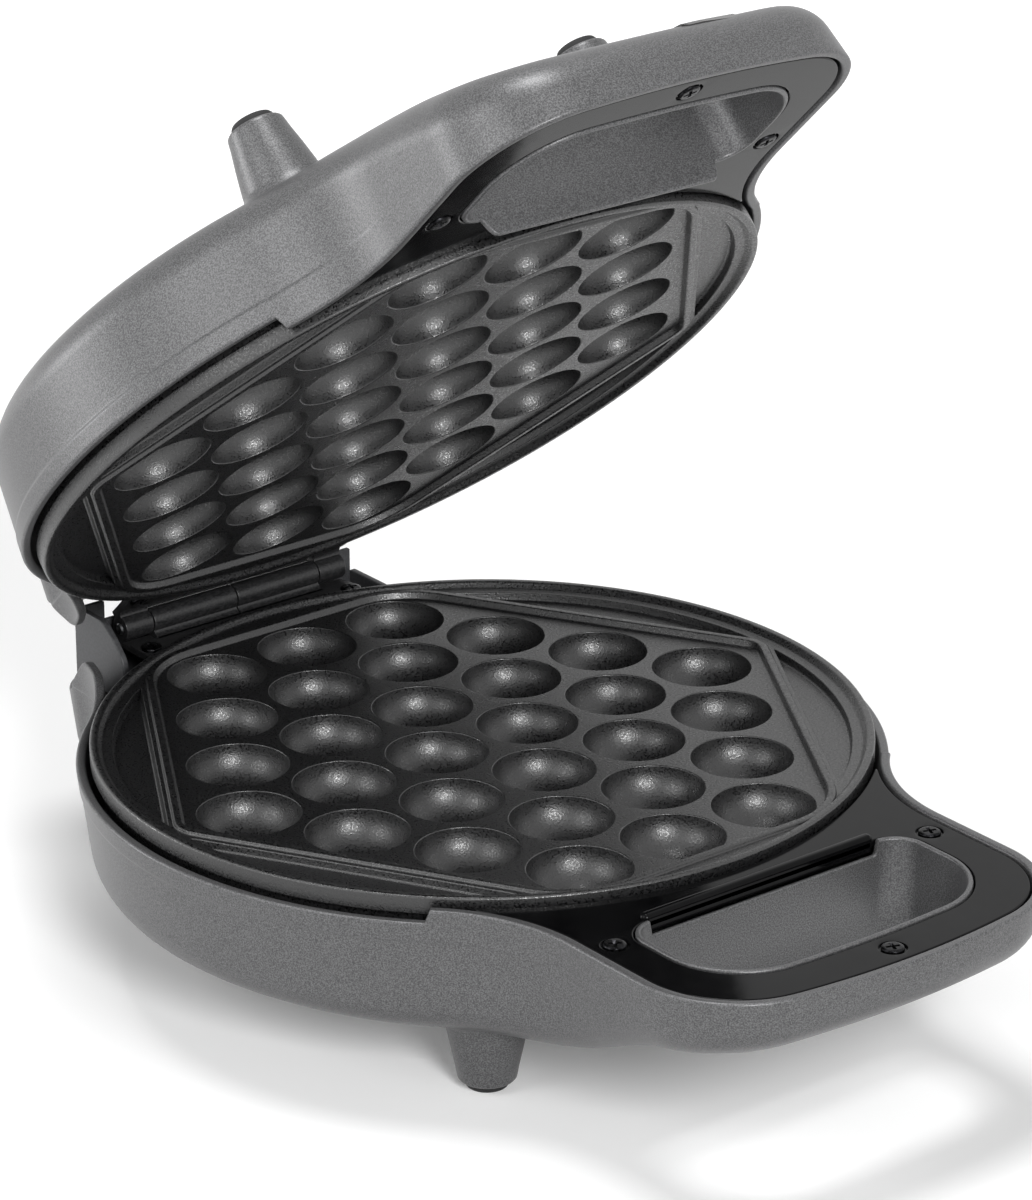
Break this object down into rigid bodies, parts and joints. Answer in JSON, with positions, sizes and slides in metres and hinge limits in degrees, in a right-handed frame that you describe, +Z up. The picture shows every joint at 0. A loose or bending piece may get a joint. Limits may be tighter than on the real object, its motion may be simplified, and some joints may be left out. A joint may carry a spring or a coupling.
{
  "type": "bubble waffle maker",
  "caption": "Electric bubble waffle maker with a hinged lid, round cooking plates with hemispherical cavities, and a loop handle on each half, shown open.",
  "frame": {"origin": "on the surface the feet stand on, under the middle of the machine's bounding box with the lid open at its stored angle", "axes": "+Z up; -Y towards the handle; +Y towards the hinge; +X to the right seen from the handle"},
  "size_m": [0.1986, 0.2906, 0.2484],
  "materials": {
    "metallic_grey_housing": "metallic grey paint on moulded plastic, satin",
    "non_stick_coating": "black non-stick coating on die-cast plate, satin",
    "gloss_black_plastic": "polished black",
    "blackened_steel": "black oxide",
    "zinc_plated_steel": "zinc plated",
    "black_rubber": "matt",
    "element_sheath": "heat-tinted steel tube",
    "aluminised_sheet": "bright sheet",
    "brown_phenolic": "moulded phenolic",
    "wire_insulation": "woven glass sleeve",
    "black_coated_steel": "black satin coating",
    "dark_grey_plastic": "satin",
    "white_nylon": "natural nylon",
    "smoked_lens": "smoked translucent",
    "lamp_glass": "clear glass neon lamp"
  },
  "bodies": {
    "base": {"base_casing": "metallic_grey_housing", "base_cooking_plate": "non_stick_coating", "base_handle_cover": "gloss_black_plastic", "base_handle_screws": "blackened_steel", "base_feet": "metallic_grey_housing", "base_foot_pads": "black_rubber", "base_heating_element": "element_sheath", "base_element_clamps": "zinc_plated_steel", "base_reflector": "aluminised_sheet", "base_thermostat": "brown_phenolic", "base_wiring": "wire_insulation", "base_plate_screws": "zinc_plated_steel", "base_hinge_leaf": "black_coated_steel", "base_hinge_screws": "blackened_steel", "hinge_pin": "zinc_plated_steel", "hinge_cover": "dark_grey_plastic", "cord_gland": "black_rubber", "terminal_block": "white_nylon", "thermal_fuse": "zinc_plated_steel"},
    "lid": {"lid_casing": "metallic_grey_housing", "lid_cooking_plate": "non_stick_coating", "lid_handle_cover": "gloss_black_plastic", "lid_handle_screws": "blackened_steel", "lid_feet": "metallic_grey_housing", "lid_foot_pads": "black_rubber", "lid_heating_element": "element_sheath", "lid_element_clamps": "zinc_plated_steel", "lid_reflector": "aluminised_sheet", "lid_thermostat": "brown_phenolic", "lid_wiring": "wire_insulation", "lid_plate_screws": "zinc_plated_steel", "lid_hinge_leaf": "black_coated_steel", "lid_hinge_screws": "blackened_steel", "indicator_lens": "smoked_lens", "indicator_lamps": "lamp_glass", "lamp_holder": "white_nylon"}
  },
  "joints": [
    {"name": "lid_hinge", "type": "hinge", "parent": "base", "child": "lid", "pos_m": [0, 0.11922, 0.0565], "axis": [-1, 0, 0], "range_deg": [-44, 56]}
  ]
}
